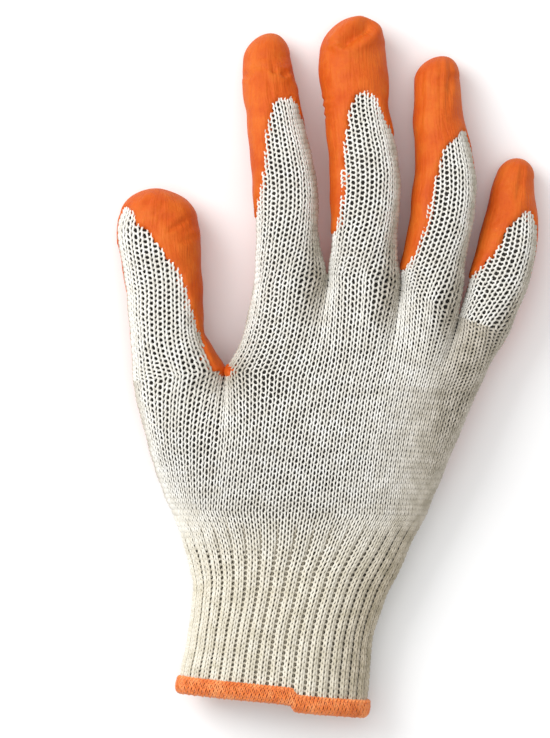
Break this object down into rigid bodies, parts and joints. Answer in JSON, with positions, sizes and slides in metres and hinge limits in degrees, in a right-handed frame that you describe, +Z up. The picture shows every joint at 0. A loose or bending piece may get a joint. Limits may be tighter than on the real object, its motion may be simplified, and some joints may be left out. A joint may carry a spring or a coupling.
{
  "type": "coated knit work glove",
  "caption": "Right-hand seamless knit work glove, lying palm down: five puffed fingers with a rubbery coat on palm, tips and finger sides, bare knit back, long ribbed cuff with an overlocked hem.",
  "frame": {"origin": "middle of the footprint, on the table that the palm, the fingertips and the hem rest on", "axes": "+Y from the cuff's mouth along the fingers, +X across the hand from the thumb to the little finger, +Z up out of the back of the hand"},
  "size_m": [0.1484, 0.2454, 0.0368],
  "materials": {
    "knit": "undyed cotton jersey knit with open stitches",
    "cuff": "undyed cotton rib with elastic",
    "hem": "orange overlock thread",
    "latex": "dipped orange latex, satin, showing the knit below"
  },
  "bodies": {
    "root": {"knit_hand": "knit", "knit_knuckles": "knit", "knit_thumb": "knit", "knit_index": "knit", "knit_middle": "knit", "knit_ring": "knit", "knit_little": "knit", "rib_cuff": "cuff", "hem_overlock": "hem", "latex_palm": "latex", "latex_thumb": "latex", "latex_index": "latex", "latex_middle": "latex", "latex_ring": "latex", "latex_little": "latex"}
  },
  "joints": []
}
